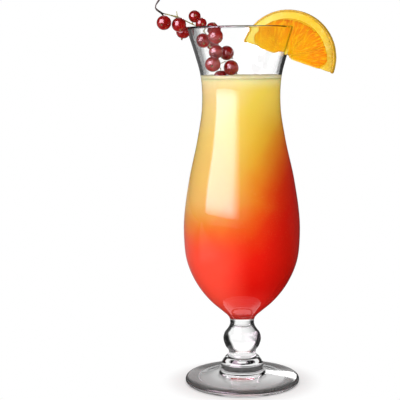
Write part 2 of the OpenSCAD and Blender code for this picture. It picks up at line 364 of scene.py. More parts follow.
# %% Glass outline
def smooth_line(points, steps):
    """A smooth curve through points: at each it runs along the parabola through its neighbours."""
    points = [Vector(p) for p in points]
    chords = [(b - a).length for a, b in zip(points, points[1:])]
    headings = [(b - a) / c for a, b, c in zip(points, points[1:], chords)]
    slopes = [headings[0]]
    for i in range(1, len(points) - 1):
        c, d = chords[i - 1], chords[i]
        slopes.append((d * headings[i - 1] + c * headings[i]) / (c + d))
    slopes.append(headings[-1])
    line = []
    for i, c in enumerate(chords):
        for s in range(steps):
            t = s / steps
            line.append(
                (2 * t**3 - 3 * t**2 + 1) * points[i] + (t**3 - 2 * t**2 + t) * c * slopes[i]
                + (3 * t**2 - 2 * t**3) * points[i + 1] + (t**3 - t**2) * c * slopes[i + 1]
            )
    return line + [points[-1]]


WALL = 2.0
GLASS_HEIGHT = 235.0
MOUTH_LEAN = math.radians(16.5)
RIM_Z = GLASS_HEIGHT - WALL / 2 * (1 + math.sin(MOUTH_LEAN))
FLOOR_Z = 48.0
STEP_R, STEP_FOOT_Z, STEP_TOP_Z = 14.2, 7.2, 11.0
FOOT_FLAT_R, FOOT_ROUND = 36.0, 2.0
HOLLOW_R = 29.0
LINE_STEPS = 8
BOWL_OUTLINE = [
    (35, RIM_Z), (29.4, 216), (26.5, 205), (25.5, 184), (28.8, 162), (34.5, 136),
    (38.24, 100), (36.3, 82), (29.2, 66), (20.4, 55), (13, 48.5), (9.8, 45.6), (8.4, 43.6), (8, 42),
]
STEM_OUTLINE = [
    (8, 42), (7.95, 40), (8.5, 38), (9.7, 36), (11.6, 33.4), (12.5, 30), (11.3, 25), (8.9, 20.8), (9.3, 18.8),
    (11.2, 17), (12.7, 15), (13.8, 13), (STEP_R, STEP_TOP_Z),
]
outer_line = smooth_line(BOWL_OUTLINE, LINE_STEPS)


def wall_line(depth):
    """The line at a depth inside the bowl's outside, from the rim to the middle of the bowl's floor."""
    line = []
    floor_z = FLOOR_Z + depth - WALL
    for i, p in enumerate(outer_line):
        along = outer_line[min(i + 1, len(outer_line) - 1)] - outer_line[max(i - 1, 0)]
        along.normalize()
        q = p + depth * Vector((along[1], -along[0]))
        if q[1] > floor_z + 0.6:
            line.append(q)
    return line + [Vector((0, floor_z))]


inner_line = wall_line(WALL)
rim_middle = (outer_line[0] + inner_line[0]) / 2
lean = math.atan2(inner_line[0][1] - outer_line[0][1], inner_line[0][0] - outer_line[0][0])
rim_turns = [lean - math.pi * (1 - s / 10) for s in range(1, 10)]
rim_arc = [rim_middle + WALL / 2 * Vector((math.cos(a), math.sin(a))) for a in rim_turns]
foot_top = smooth_line([(FOOT_FLAT_R, 2 * FOOT_ROUND), (25, 5.2), (15.2, 6.4)], LINE_STEPS)
edge_turns = [math.radians(a) for a in range(-75, 76, 15)]
foot_edge = [
    Vector((FOOT_FLAT_R + FOOT_ROUND * math.cos(a), FOOT_ROUND + FOOT_ROUND * math.sin(a))) for a in edge_turns
]
hollow = smooth_line([(0, 2.5), (17.4, 2.125), (28.5, 0.6)], LINE_STEPS)
glass_line = (
    hollow + [Vector((HOLLOW_R, 0)), Vector((FOOT_FLAT_R, 0))] + foot_edge + foot_top
    + [Vector((STEP_R, STEP_FOOT_Z)), Vector((STEP_R, STEP_TOP_Z))]
    + list(reversed(smooth_line(STEM_OUTLINE, LINE_STEPS)))[1:]
    + list(reversed(outer_line))[1:] + rim_arc + inner_line
)
print("glass outline:", len(glass_line), "points")

# %% [markdown]
# A turned piece starts as one small plane, merged to a single corner. The corner is extruded from point to point
# along the outline, and the outline is spun about the upright axis. The two ends lie on the axis, so their rings
# are merged to one point each.

# %% Draw and turn
def mode(name):
    bpy.ops.object.mode_set(mode=name)


def draw_line(name, line):
    """Extrudes one corner along a line of points in millimetres, and stays in edit mode."""
    line = [Vector((p[0], 0, p[1])) if len(p) == 2 else Vector(p) for p in line]
    bpy.ops.object.select_all(action="DESELECT")
    bpy.ops.mesh.primitive_plane_add(size=MM, location=line[0] * MM)
    piece = bpy.context.object
    piece.name = name
    piece.data.name = name
    mode("EDIT")
    bpy.ops.mesh.merge(type="CENTER")
    for a, b in zip(line, line[1:]):
        bpy.ops.mesh.extrude_region_move(TRANSFORM_OT_translate={"value": (b - a) * MM})
    return piece


def spin_all(degrees, steps):
    """Spins the whole mesh about the upright axis."""
    bpy.ops.mesh.select_all(action="SELECT")
    bpy.ops.mesh.spin(steps=steps, angle=math.radians(degrees), center=(0, 0, 0), axis=(0, 0, 1))


def apply_place():
    """Puts the place, turn and scale of what is selected into its mesh."""
    bpy.ops.object.transform_apply(location=True, rotation=True, scale=True)


def close_skin():
    """Merges doubled points, turns the faces outwards and leaves edit mode."""
    bpy.ops.mesh.select_all(action="SELECT")
    bpy.ops.mesh.remove_doubles(threshold=1e-6)
    bpy.ops.mesh.normals_make_consistent(inside=False)
    mode("OBJECT")
    apply_place()


def turned(name, line, steps):
    """A closed turned piece from the half outline of its section."""
    piece = draw_line(name, line)
    spin_all(360, steps)
    close_skin()
    bpy.ops.object.shade_smooth()
    return piece


def put_on(piece, body, slot, finish, *nodes):
    """Gives a finished piece its material and its body, and hides the CAD nodes it stands for; the slot is not used.
    """
    piece.data.materials.clear()
    piece.data.materials.append(finish)
    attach(piece, body)
    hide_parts(*nodes)
    size = [round(d / MM, 1) for d in piece.dimensions]
    print(piece.name, "on", body, "-", len(piece.data.polygons), "faces,", size, "mm")


def apply_all(piece):
    bpy.context.view_layer.objects.active = piece
    for modifier in list(piece.modifiers):
        bpy.ops.object.modifier_apply(modifier=modifier.name)


glass = turned("glass", glass_line, steps=128)
bevel = glass.modifiers.new("soft_edges", "BEVEL")
bevel.width = 0.5 * MM
bevel.segments = 3
bevel.limit_method = "ANGLE"
bevel.angle_limit = math.radians(32)
apply_all(glass)
print("glass:", len(glass.data.polygons), "faces")

# %% [markdown]
# Clear glass is mostly what it bends and mirrors. Its skin is not perfect: a slow waviness from the blowing bends
# the lines behind it, and the ring that the foot stands on is ground rough. Its tint is darker where the surface
# turns
# away from the eye: partly because glass swallows light along its side, and partly as painted shade for the dark room
# that the edges of clear glass show. That painted shade lies on the solid stem, on the wall of the mouth, and in a
# narrow line at the mouth's right. In the photo these edges are wider on the left, so their limit shifts with X, and
# the left of the rim is a painted grey line. Lamps and soft light pass straight through, so that the drink and the
# fruit behind the wall are lit. The thick foot holds some of that light back.

# %% Glass finish
STAND_RING = HOLLOW_R * MM
LEFT_SHIFT = 6.0
STEM_ENDS = ((0.019, 0.022), (0.042, 0.045))
MOUTH_START = (0.2042, 0.2050)
RIM_START = (0.2332, 0.2340)
FOOT_END = (0.008, 0.016)


def soft_noise(place, scale, detail, more=None):
    """A cloudy pattern; scale counts its clouds per metre."""
    inputs = {"Vector": place, "Scale": scale, "Detail": detail, **(more or {})}
    return add(place.id_data, "TexNoise", inputs).outputs[0]


def bumps(height, strength, distance):
    inputs = {"Height": height, "Strength": strength, "Distance": distance}
    return add(height.id_data, "Bump", inputs).outputs[0]


clear_glass, tree, shader, place = finish_for("clear_glass")
x, y, z = xyz(place)
flat = add(tree, "CombineXYZ", {0: x, 1: y}).outputs[0]
from_axis = add(tree, "VectorMath", {0: flat}, operation="LENGTH").outputs["Value"]
off_ring = maths("ABSOLUTE", maths("SUBTRACT", from_axis, STAND_RING))
ground = times(between(off_ring, 0.0003, 0.0007, 1.0, 0.0), between(z, 0.0008, 0.0012, 0.55, 0.0))

facing = add(tree, "LayerWeight", {"Blend": 0.5}).outputs["Facing"]
shifted = maths("SUBTRACT", facing, times(x, LEFT_SHIFT))
_, _, upright = xyz(add(tree, "NewGeometry").outputs["Normal"])
sideways = maths("SUBTRACT", shifted, times(upright, upright, 0.5))
in_mouth = between(z, *MOUTH_START)
# painted shade: dark edges on the stem and the mouth, and a grey line at the rim's left, for the dark room they show
painted_dark_stem_edge = times(between(sideways, 0.20, 0.34), band(z, *STEM_ENDS))
painted_dark_mouth_edge = times(between(shifted, 0.56, 0.66), in_mouth)
painted_dark_right_line = times(between(facing, 0.57, 0.68), in_mouth, between(x, 0.010, 0.020))
painted_grey_rim_left = times(between(z, *RIM_START), between(x, 0.002, 0.010, 0.85, 0.0))
tint_with_painted_edges = coated((0.997, 1.0, 0.998, 1), [
    (painted_dark_stem_edge, (0.004, 0.004, 0.004, 1)),
    (painted_dark_mouth_edge, (0.41, 0.41, 0.41, 1)),
    (painted_dark_right_line, (0.20, 0.20, 0.20, 1)),
    (painted_grey_rim_left, (0.35, 0.36, 0.36, 1)),
])
fill(shader, {
    "Base Color": tint_with_painted_edges,
    "Roughness": ground,
    "IOR": 1.5,
    "Transmission Weight": 1.0,
    "Normal": bumps(soft_noise(place, 45.0, 1.0), 0.035, 0.001),
})
thick = between(z, *FOOT_END, 1.0, 0.0)
let_through = mixed(thick, (0.97, 0.975, 0.975, 1), (0.64, 0.65, 0.65, 1))
clear = add(tree, "BsdfTransparent", {"Color": let_through}).outputs[0]
path = add(tree, "LightPath").outputs
lit = shader.outputs[0]
for kind in ("Is Shadow Ray", "Is Diffuse Ray"):
    lit = add(tree, "MixShader", {0: path[kind], 1: lit, 2: clear}).outputs[0]
fill(tree.nodes["Material Output"], {"Surface": lit})
put_on(glass, "glass", "clear_glass", clear_glass, "flared_mouth", "bowl", "knop_stem", "foot")

# %% [markdown]
# ## The drink
#
# A cloudy fruit drink poured in layers: red syrup lies in the bottom and fades through orange to pale yellow juice.
# It is one liquid with no skin between its layers, so it is one turned body with one finish. Its side lies a hair
# inside the wall of the glass, so that no air shows between them and its colour fills the glass to the edge.

# %% Drink
DRINK_DEPTH = WALL - 0.15
DRINK_TOP = 202.3


def side_below(depth, top, bottom=0.0):
    """The wall's line at a depth between two heights, starting exactly at the upper one."""
    line = wall_line(depth)
    for a, b in zip(line, line[1:]):
        if a[1] >= top > b[1]:
            first = a.lerp(b, (a[1] - top) / (a[1] - b[1]))
    return [first] + [p for p in line if bottom < p[1] < top - 0.01]


drink_side = side_below(DRINK_DEPTH, DRINK_TOP)
top_r = drink_side[0][0]
drink = turned("drink", [Vector((0, DRINK_TOP)), Vector((top_r * 0.5, DRINK_TOP))] + drink_side, steps=96)
print("drink:", round(DRINK_TOP - FLOOR_Z), "mm deep")

# %% [markdown]
# The syrup was poured down one side, so the red reaches higher on the right, and slow swirls blur the change.
# The colour therefore follows the height, tilted a little, and shifted by a soft noise. The tilt is also painted
# shade: the right side lies away from the light, so its red is drawn higher than the pour alone puts it. Over that
# lie softer changes that the photo shows: painted light that makes the left side paler, painted light from the table
# that makes the bottom pinker, painted light that makes the lower left pinker, painted shade that deepens the red on
# the far right, painted light that warms the upper right where the slice shades the drink, a pale zone under the
# froth that is partly the froth's tint and partly painted light over the shaded top edge, and fine specks of pulp.
# Light enters a cloudy liquid and leaves it again nearby, which is what subsurface scattering does.

# %% Drink finish
RAMP_LOW, RAMP_HIGH = 30, 220
DRINK_COLOURS = [
    (30, (0.60, 0.002, 0.001)),
    (64, (0.67, 0.004, 0.001)),
    (83, (0.73, 0.009, 0.002)),
    (96, (0.73, 0.032, 0.003)),
    (109, (0.735, 0.098, 0.006)),
    (119, (0.74, 0.172, 0.010)),
    (130, (0.755, 0.268, 0.016)),
    (142, (0.77, 0.392, 0.027)),
    (156, (0.785, 0.475, 0.042)),
    (181, (0.83, 0.60, 0.08)),
    (196, (0.86, 0.67, 0.19)),
    (218, (0.88, 0.70, 0.32)),
]


def soft_inside(weight, radius, scale):
    """Sockets for light that enters a surface and leaves it nearby; the radius is for red, green and blue."""
    return {"Subsurface Weight": weight, "Subsurface Radius": radius, "Subsurface Scale": scale}


sunrise, tree, shader, place = finish_for("sunrise_drink")
x, _, z = xyz(place)
swirl = soft_noise(place, 28.0, 2.0, {"Distortion": 0.6})
shift = times(maths("SUBTRACT", swirl, 0.5), 0.022)
lean_out = maths("ADD", times(x, -16.0), -1.1)
# partly the pour, partly painted shade: the red is drawn higher on the right, away from the light
pour_tilt_and_painted_shade = times(x, lean_out, between(z, 0.085, 0.140, 0.6, 1.0))
level = maths("ADD", maths("ADD", z, pour_tilt_and_painted_shade), shift)
layers = between(level, RAMP_LOW * MM, RAMP_HIGH * MM, smooth=False)
drink_colour = ramp(
    layers, [((height - RAMP_LOW) / (RAMP_HIGH - RAMP_LOW), colour) for height, colour in DRINK_COLOURS]
)
pulp = soft_noise(place, 900.0, 2.0)
# painted light: the left side, towards the key lamp, is made paler
painted_light_left = times(between(x, -0.022, 0.010, 0.36, 0.0), between(z, 0.106, 0.128))
# painted light: the bottom is brightened and pinked as if lit from the white table
painted_table_light_bottom = between(z, 0.050, 0.072, 0.6, 0.0)
# painted light on the lower left, the side that the key lamp lights
painted_light_lower_left = times(between(x, -0.018, 0.006, 0.85, 0.0), between(z, 0.085, 0.118, 1.0, 0.0))
# painted shade: the far right, away from the light, is deepened
painted_shade_far_right = times(between(x, 0.008, 0.036, 0.0, 0.55), between(z, 0.13, 0.17, 1.0, 0.0))
# painted light: the upper right is warmed where the slice shades the drink
painted_light_upper_right = times(between(x, 0.0, 0.026, 0.0, 0.6), between(z, 0.166, 0.194))
# partly the froth's tint, partly painted light over the shaded top edge of the drink
froth_tint_and_painted_light = between(z, 0.194, 0.2022, 0.0, 0.65)
specks = times(between(pulp, 0.55, 0.8, 0.0, 0.12), layers)
drink_colour = coated(drink_colour, [
    (painted_light_left, (0.88, 0.55, 0.30, 1)),
    (painted_table_light_bottom, (0.98, 0.036, 0.024, 1)),
    (painted_light_lower_left, (0.93, 0.080, 0.045, 1)),
    (painted_shade_far_right, (0.42, 0.008, 0.001, 1)),
    (painted_light_upper_right, (1.0, 0.78, 0.15, 1)),
    (froth_tint_and_painted_light, (0.93, 0.80, 0.42, 1)),
    (specks, (0.9, 0.62, 0.25, 1)),
])
fill(shader, {
    "Base Color": drink_colour,
    "Roughness": between(pulp, 0.3, 0.7, 0.35, 0.55),
    "Specular IOR Level": 0.05,
    **soft_inside(0.6, (1.0, 0.5, 0.25), 0.006),
})
put_on(drink, "glass", "orange_blend", sunrise, "syrup_layer", "blend_layer", "juice_layer")

# %% [markdown]
# ## The froth
#
# Pouring leaves a thin skin of bubbles, a little higher where it clings to the wall. A turned disc gives the skin.
# The bubbles are half balls with few faces, cut from one sphere and copied at seeded random places, most of them
# near the wall where bubbles gather.

# %% Froth
FROTH_DEPTH = WALL - 0.1
FROTH_TOP = 204.3
FROTH_SKIN = 203.0
FROTH_BOTTOM = DRINK_TOP - 0.5
froth_side = side_below(FROTH_DEPTH, FROTH_TOP, 202.4)
froth_side.append(side_below(FROTH_DEPTH, FROTH_BOTTOM)[0])
froth_r = froth_side[-1][0]
froth_line = [
    (0, FROTH_SKIN), (froth_r * 0.5, 202.95), (froth_r - 4, FROTH_SKIN), (froth_r - 1.6, 203.2),
    (froth_r - 0.5, 203.9), *froth_side, (froth_r * 0.5, FROTH_BOTTOM), (0, FROTH_BOTTOM),
]
froth = turned("froth", [tuple(p) for p in froth_line], steps=72)
print("froth:", round(froth_r, 2), "mm radius")

# %% Bubbles
BUBBLES = 170
WALL_SHARE = 0.7
random.seed(11)
bpy.ops.object.select_all(action="DESELECT")
bpy.ops.mesh.primitive_uv_sphere_add(segments=10, ring_count=8, radius=MM)
bubble = bpy.context.object
mode("EDIT")
bpy.ops.mesh.select_all(action="SELECT")
bpy.ops.mesh.bisect(plane_co=(0, 0, -0.2 * MM), plane_no=(0, 0, 1), use_fill=True, clear_inner=True)
mode("OBJECT")
bpy.ops.object.shade_smooth()
bubbles = [bubble]
for _ in range(BUBBLES):
    near_wall = random.random() < WALL_SHARE
    r = (froth_r - random.uniform(0.5, 3.2)) if near_wall else froth_r * math.sqrt(random.random()) * 0.9
    a = random.uniform(0, 2 * math.pi)
    size = random.uniform(0.35, 1.0) if near_wall else random.uniform(0.3, 0.8)
    copy = bubble.copy()
    copy.data = bubble.data.copy()
    copy.scale = (size, size, size * 0.75)
    copy.location = (r * math.cos(a) * MM, r * math.sin(a) * MM, (FROTH_SKIN + (0.25 if near_wall else 0)) * MM)
    scene.collection.objects.link(copy)
    bubbles.append(copy)
bubble.location = (0.012, 0.004, FROTH_SKIN * MM)
bubble.scale = (0.8, 0.8, 0.6)
bpy.ops.object.select_all(action="DESELECT")
for piece in bubbles + [froth]:
    piece.select_set(True)
bpy.context.view_layer.objects.active = froth
bpy.ops.object.join()
apply_place()
print("bubbles:", len(bubbles))

# %% [markdown]
# Foam is a net of thin wet films. The pale lines between cells stand for bubbles too small to shape, and the skin
# between them goes from the juice's yellow to cream in patches.

# %% Froth finish
foam, tree, shader, place = finish_for("foam")
cells = add(tree, "TexVoronoi", {"Vector": place, "Scale": 1400.0}, feature="DISTANCE_TO_EDGE").outputs["Distance"]
films = between(cells, 0.0, 0.12, 1.0, 0.0)
patchy = soft_noise(place, 120.0, 2.0)
skin = ramp(patchy, [(0.3, (0.86, 0.66, 0.24)), (0.7, (0.93, 0.82, 0.48))])
fill(shader, {
    "Base Color": mixed(films, skin, (0.97, 0.92, 0.74, 1)),
    "Roughness": between(patchy, 0.3, 0.7, 0.15, 0.4),
    "Normal": bumps(films, 0.5, 0.0003),
    **soft_inside(0.4, (1.0, 0.7, 0.3), 0.002),
})
put_on(froth, "glass", "foam", foam, "froth")

# %% [markdown]
# ## The orange slice
#
# Half a slice of orange sits on the rim, which runs in a slit cut from the straight edge. It is drawn flat,
# with the straight edge along X and the peel towards Y, and then turned and tilted onto the rim as the CAD has it.
# The peel is a half ring: a small closed outline is extruded, and spun half a turn about the slice's middle.

# %% Slice helpers
SLICE_TURN = math.radians(-15)
SLICE_TILT = math.radians(20)
SLICE_MIDDLE = (30.8, 0, 214.7)
SLICE_PLACE = (
    Matrix.Rotation(SLICE_TURN, 4, "Z") @ Matrix.Translation(Vector(SLICE_MIDDLE) * MM)
    @ Matrix.Rotation(SLICE_TILT, 4, "Y") @ Matrix.Rotation(math.radians(90), 4, "X")
)
SLICE_HALF = 4.5


def half_spun(name, section, start, end, steps):
    """Spins a closed outline, in radius and depth, from one angle of the slice to another, and fills its ends."""
    piece = draw_line(name, section + section[:1])
    bpy.ops.mesh.select_all(action="SELECT")
    bpy.ops.mesh.remove_doubles(threshold=1e-6)
    spin_all(start - end, steps)
    bpy.ops.mesh.select_all(action="SELECT")
    bpy.ops.mesh.fill_holes(sides=0)
    close_skin()
    piece.rotation_euler = (0, 0, math.radians(start))
    apply_place()
    return piece


def rounded(piece, levels):
    modifier = piece.modifiers.new("rounded", "SUBSURF")
    modifier.levels = modifier.render_levels = levels
    apply_all(piece)
    bpy.ops.object.shade_smooth()


def only(piece):
    """Selects one piece and makes it the active one."""
    bpy.ops.object.select_all(action="DESELECT")
    piece.select_set(True)
    bpy.context.view_layer.objects.active = piece


def onto_rim(piece):
    only(piece)
    piece.matrix_world = SLICE_PLACE
    apply_place()


def roughen(piece, texture_kind, grain, depth):
    """Pushes the surface in by a fine legacy texture, so that nothing stands proud of the CAD shape."""
    texture = bpy.data.textures.new(piece.name + "_grain", texture_kind)
    texture.noise_scale = grain * MM
    modifier = piece.modifiers.new("grain", "DISPLACE")
    modifier.texture = texture
    modifier.texture_coords = "LOCAL"
    modifier.strength = depth * MM
    modifier.mid_level = 1.0
    apply_all(piece)


print("slice helpers ready")

# %% [markdown]
# The zest is a thin rounded rind, pressed in by a fine grain of pores, and the pith fills the space inside it. The
# pith reaches a little under the rind, so that no gap shows between them.

# %% Zest and pith
def both_faces(half, *middle):
    """A closed section in radius and depth: points on one face, any in the middle, and the same on the other face."""
    return [(r, -d) for r, d in half] + list(middle) + [(r, d) for r, d in reversed(half)]


zest_section = both_faces([(28.9, 4.3), (29.7, 4.52), (30.35, 4.35), (30.6, 3.7)], (30.62, 0)) + [(28.8, 0)]
zest = half_spun("orange_zest", zest_section, start=0, end=180, steps=40)
rounded(zest, 2)
roughen(zest, "STUCCI", grain=1.1, depth=0.22)
pith_section = both_faces([(24.4, 4.0), (25.2, 4.3), (27.2, 4.4), (29.0, 4.42), (29.9, 3.6)])
pith = half_spun("orange_pith", pith_section, start=0.4, end=179.3, steps=36)
rounded(pith, 2)
roughen(pith, "CLOUDS", grain=1.6, depth=0.35)
print("peel:", len(zest.data.polygons), len(pith.data.polygons), "faces")

# %% [markdown]
# The flesh is five segments, each a pillow with rounded corners: a coarse wedge, softened by a subdivision surface.
# Inside a segment lie hundreds of juice sacs, long drops that point at the core. In the two segments inside the
# glass they lie slanted, and fan out from a point beside the core. A brush can't lay them out evenly, so they are
# worked out in code: each point is moved by its distance to the border between two sacs. That distance is kept as an
# attribute for the finish, with the distance from the core and the raggedness of the cut beside the slit, which the
# finish paints pale, partly as painted light in the slit's shade.

# %% Flesh
SEGMENTS = 5
SEGMENT_ANGLE = 180 / SEGMENTS
SEGMENT_OVERLAP = 2.0
CORE_R = 2.4
FLESH_R = 25.5
SAC_WIDTH = 1.0
SAC_LENGTH = 7.0
SAC_RELIEF = 0.16
FAN_POINT = (-12, -16)
FAN_SACS, CORE_SACS = 30, 15


def lay_sacs(piece, seed, fanned):
    """Raises the juice sacs on both faces of a segment, inwards from the CAD shape."""
    mesh = piece.data
    border = mesh.attributes.new("sac", "FLOAT", "POINT")
    reach = mesh.attributes.new("reach", "FLOAT", "POINT")
    torn_cut_and_painted_light = mesh.attributes.new("torn_cut_and_painted_light", "FLOAT", "POINT")
    for i, v in enumerate(mesh.vertices):
        x, y, z = v.co / MM
        r = math.hypot(x, y)
        a = math.atan2(y, x)
        fan = math.atan2(y - FAN_POINT[1], x - FAN_POINT[0]) * FAN_SACS if fanned else a * CORE_SACS
        wobble = noise.noise(Vector((x, y, seed * 3.1)) * 0.16) * 0.9
        drift = noise.noise(Vector((x, y, 7)) * 0.1)
        near, _ = noise.voronoi(Vector((fan / SAC_WIDTH + wobble, r / SAC_LENGTH + drift, z * 0.12 + seed)))
        d = min(1.0, (near[1] - near[0]) * 2.2)
        border.data[i].value = d
        reach.data[i].value = r / FLESH_R
        # the ragged cut beside the slit and the straight edge, also used as painted light in the slit's shade
        low_edge = 3.2 * max(0.0, 1 - abs(x + 3.5) / 6) if x < -0.5 else 0.0
        to_edge = max(0.0, y - low_edge) / 1.7
        to_slit = abs(x + 1.2) / 1.4 + max(0.0, y - 4) / 6
        torn = 0.7 + 0.6 * noise.noise(Vector((x, y, z)) * 0.6)
        torn_cut_and_painted_light.data[i].value = max(0.0, 1 - min(to_edge, to_slit)) * torn
        fade = min(1.0, max(0.0, (abs(z) - 2.0) / 1.5))
        v.co.z -= math.copysign((1 - d) * SAC_RELIEF * MM * fade, z)
        stretch = 1 - 0.045 * math.cos(2 * (a - math.pi / 2)) * min(1.0, r / FLESH_R) ** 2
        v.co.x *= stretch
        v.co.y *= stretch


def pick(piece, test):
    """Selects the points of a mesh that pass a test, and goes into edit mode."""
    only(piece)
    mode("EDIT")
    bpy.ops.mesh.select_mode(type="VERT")
    bpy.ops.mesh.select_all(action="DESELECT")
    mode("OBJECT")
    for v in piece.data.vertices:
        v.select = test(v.co)
    mode("EDIT")


def drag(piece, test, step, reach):
    """Moves the points that pass a test by a step in millimetres, and softly those within reach of them."""
    pick(piece, test)
    bpy.ops.transform.translate(
        value=[c * MM for c in step], use_proportional_edit=True, proportional_size=reach * MM,
        proportional_edit_falloff="SMOOTH",
    )
    mode("OBJECT")


def flesh_section(inner, outer):
    """A wedge's section, with close rows at its corners so that they stay firm when it is softened."""
    rows = [inner, inner + 0.5, inner + 4, inner + 10, outer - 6, outer - 0.9, outer]
    front = [(r, SLICE_HALF + 0.05) for r in rows[1:-1]]
    back = [(r, -SLICE_HALF - 0.05) for r in reversed(rows[1:-1])]
    return (
        [(inner, 3.6)] + front + [(outer, 3.8), (outer, 0), (outer, -3.8)] + back + [(inner, -3.6), (inner, 0)]
    )


def tear_edge(piece):
    """Lifts the straight edge beside the slit, where cutting it tore the flesh."""
    drag(piece, lambda co: abs(co.y) < 0.6 * MM and -5.5 * MM < co.x < -1.5 * MM, (0, 3.2, 0), 5)


def nick_edge(piece):
    """Nicks the straight edge where the flesh meets the peel."""
    drag(piece, lambda co: abs(co.y) < 0.9 * MM and abs(co.x + 21.2 * MM) < 0.6 * MM, (0, 2.6, 0), 2.6)


def draw_in(piece, side, radius, step, reach):
    """Draws the border of flesh and peel inwards at one end of the straight edge."""
    drag(
        piece, lambda co: abs(co.y) < 1.0 * MM and abs(co.x - side * radius * MM) < 0.9 * MM,
        (-side * step, 0, 0), reach,
    )


for side in (-1, 1):
    draw_in(pith, side, radius=24.4, step=3.8, reach=4.6)
nick_edge(pith)
segments = []
for i in range(SEGMENTS):
    start = i * SEGMENT_ANGLE - (SEGMENT_OVERLAP if i else 0)
    end = (i + 1) * SEGMENT_ANGLE + (SEGMENT_OVERLAP if i < SEGMENTS - 1 else 0)
    segment = half_spun(f"orange_segment_{i + 1}", flesh_section(CORE_R, FLESH_R), start, end, 12)
    rounded(segment, 3)
    segments.append(segment)
draw_in(segments[0], 1, radius=25.0, step=3.6, reach=6)
draw_in(segments[-1], -1, radius=25.0, step=3.6, reach=6)
tear_edge(segments[-1])
nick_edge(segments[-1])
for i, segment in enumerate(segments):
    lay_sacs(segment, i * 7 + 2, fanned=i > 2)
print("segments:", [len(s.data.polygons) for s in segments])

# %% [markdown]
# Between the segments run thin pale walls that join at a small core. A flat half disc, a little lower than the
# segments, shows between them as those walls. The slit is cut with a copy of the glass wall, a little thinner than
# the real one: the soft flesh then follows the curve of the glass and presses on it, and no dark gap shows.

# %% Membranes and slit
core_section = both_faces([(0.4, 3.9), (1.5, 4.2), (3.5, 4.35), (12, 4.35), (20, 4.35), (25.2, 4.2), (25.4, 3.5)])
core = half_spun("orange_membranes", core_section, start=0.3, end=179.7, steps=30)
rounded(core, 1)
tear_edge(core)
nick_edge(core)
roughen(core, "CLOUDS", grain=0.9, depth=0.2)
for piece in [zest, pith, core] + segments:
    onto_rim(piece)

PRESS = 1.3
KNIFE_LOW = 196
KNIFE_TOP = GLASS_HEIGHT + 0.2
outside = [p for p in wall_line(PRESS) if p[1] > KNIFE_LOW]
inside = [p for p in wall_line(WALL - 0.05) if p[1] > KNIFE_LOW]
above = [Vector((inside[0][0], KNIFE_TOP)), Vector((outside[0][0], KNIFE_TOP))]
knife_section = [tuple(p) for p in outside + list(reversed(inside)) + above]
knife = half_spun("slit_knife", knife_section, start=-45, end=15, steps=30)
for piece in [core] + segments:
    cut = piece.modifiers.new("slit", "BOOLEAN")
    cut.object = knife
    cut.operation = "DIFFERENCE"
    cut.solver = "MANIFOLD"
    apply_all(piece)
bpy.data.objects.remove(knife)
print("slit:", WALL - PRESS, "mm wide;", len(core.data.polygons), "faces left in the membranes")

# %% [markdown]
# Zest is waxy and full of oil glands: small dark pores in a skin that is lighter in some places than in others. A
# cell pattern gives the pores, in colour and in relief, and a soft noise gives the lighter places.

# %% Zest finish
zest_finish, tree, shader, place = finish_for("orange_zest")
pores = add(tree, "TexVoronoi", {"Vector": place, "Scale": 900.0}).outputs["Distance"]
blush = soft_noise(place, 90.0, 4.0)
tone = ramp(blush, [(0.3, (0.56, 0.31, 0.012)), (0.7, (0.74, 0.44, 0.02))])
fill(shader, {
    "Base Color": mixed(between(pores, 0.0, 0.35, 0.4, 0.0), tone, (0.28, 0.13, 0.008, 1)),
    "Roughness": between(blush, 0.3, 0.7, 0.38, 0.55),
    "Specular IOR Level": 0.25,
    "Normal": bumps(pores, 0.6, 0.0004),
    **soft_inside(0.15, (1.0, 0.5, 0.1), 0.0015),
})
put_on(zest, "orange_slice", "zest", zest_finish, "orange_zest")

# %% [markdown]
# Pith is dry, matt and fibrous, stained yellow by the zest. It is palest at the left end, inside the glass. At the
# right end it has painted shade, in the darker colour of the peel, since that end turns away from the light.

# %% Pith finish
pith_finish, tree, shader, place = finish_for("orange_pith")
fibre = soft_noise(place, 260.0, 5.0, {"Roughness": 0.65})
cloud = soft_noise(place, 60.0, 2.0)
tone = ramp(cloud, [(0.3, (0.90, 0.54, 0.025)), (0.55, (0.94, 0.64, 0.05)), (0.75, (0.96, 0.74, 0.13))])
x, _, _ = xyz(place)
tone = coated(tone, [
    (between(x, 0.014, 0.040, 0.55, 0.0), (0.96, 0.84, 0.22, 1)),
    # painted shade: the right end, turned away from the light, darkens to the peel's colour
    (between(x, 0.047, 0.059, 0.0, 0.8), (0.52, 0.28, 0.012, 1)),
    (between(fibre, 0.45, 0.7, 0.0, 0.35), (0.98, 0.84, 0.32, 1)),
])
fill(shader, {
    "Base Color": tone,
    "Roughness": between(fibre, 0.3, 0.7, 0.55, 0.8),
    "Specular IOR Level": 0.08,
    "Normal": bumps(fibre, 0.5, 0.0005),
    **soft_inside(0.35, (1.0, 0.6, 0.15), 0.002),
})
put_on(pith, "orange_slice", "pith", pith_finish, "orange_pith")

# %% [markdown]
# The flesh is wet and lets light in. Its sacs are deep orange, deeper towards the peel, with paler borders, and the
# cut beside the slit and along the straight edge is pale where it is ragged; that paleness is also painted light,
# which lifts the shade in the slit. The part that hangs inside the glass is more yellow.

